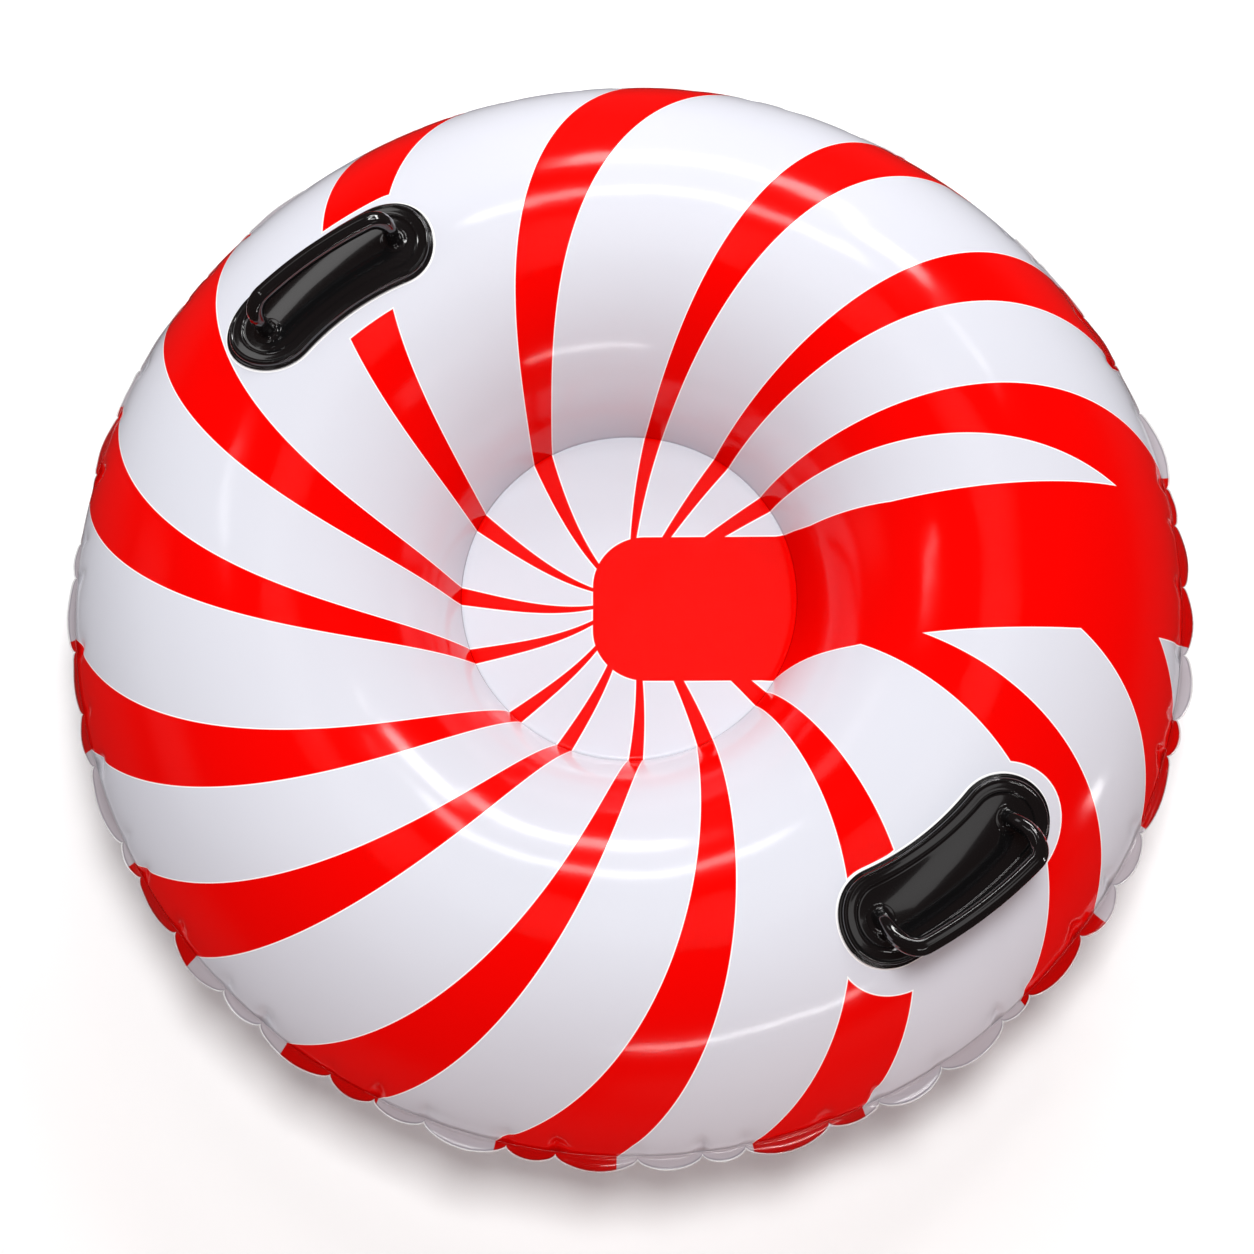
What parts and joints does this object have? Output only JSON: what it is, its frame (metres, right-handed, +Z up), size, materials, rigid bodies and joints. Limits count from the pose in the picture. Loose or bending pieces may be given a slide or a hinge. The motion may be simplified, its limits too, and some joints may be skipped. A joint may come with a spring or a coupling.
{
  "type": "inflatable snow tube",
  "caption": "Round inflatable snow tube with a sunken seat, a scalloped weld flange, moulded grab handles and a screw valve.",
  "frame": {"origin": "under the middle of the ring, on the plane the tube stands on", "axes": "+Z up out of the seat; +X towards the plain red band of the print; the picture looks down along +Y"},
  "size_m": [0.99, 0.99, 0.2678],
  "materials": {
    "printed_vinyl": "pearly white soft vinyl with a glossy red swirl print",
    "underside_vinyl": "plain white heavy vinyl, glossy",
    "handle_vinyl": "polished black moulded vinyl",
    "valve_plastic": "satin white moulded plastic",
    "gasket_rubber": "matt black rubber",
    "flap_film": "frosted soft film"
  },
  "bodies": {
    "tube": {"upper_skin": "printed_vinyl", "lower_skin": "underside_vinyl", "seat_panel": "printed_vinyl", "seat_backing": "underside_vinyl", "handle_base_left": "handle_vinyl", "handle_base_right": "handle_vinyl", "handle_grip_left": "handle_vinyl", "handle_grip_right": "handle_vinyl", "valve_base": "valve_plastic"},
    "valve_gasket": {"valve_gasket": "gasket_rubber"},
    "valve_insert": {"valve_insert": "valve_plastic"},
    "valve_cap": {"valve_cap": "valve_plastic"},
    "valve_flap": {"valve_flap": "flap_film"}
  },
  "joints": [
    {"name": "insert_lift", "type": "slide", "parent": "tube", "child": "valve_gasket", "axis": [0, 0.7413, -0.6712], "range_m": [0, 0.003]},
    {"name": "insert_turn", "type": "hinge", "parent": "valve_gasket", "child": "valve_insert", "pos_m": [0, 0.44757, 0.05876], "axis": [0, 0.7413, -0.6712], "range_deg": [0, 360]},
    {"name": "cap_hinge", "type": "hinge", "parent": "valve_insert", "child": "valve_cap", "pos_m": [0, 0.47058, 0.06316], "axis": [1, 0, 0], "range_deg": [0, 150]},
    {"name": "flap_hinge", "type": "hinge", "parent": "valve_insert", "child": "valve_flap", "pos_m": [0, 0.42872, 0.05627], "axis": [1, 0, 0], "range_deg": [0, 55], "stiffness_Nm_per_rad": 0.0005}
  ],
  "couplings": [
    {"joint": "insert_lift", "follows": "insert_turn", "m_per_rad": 0.000477}
  ]
}
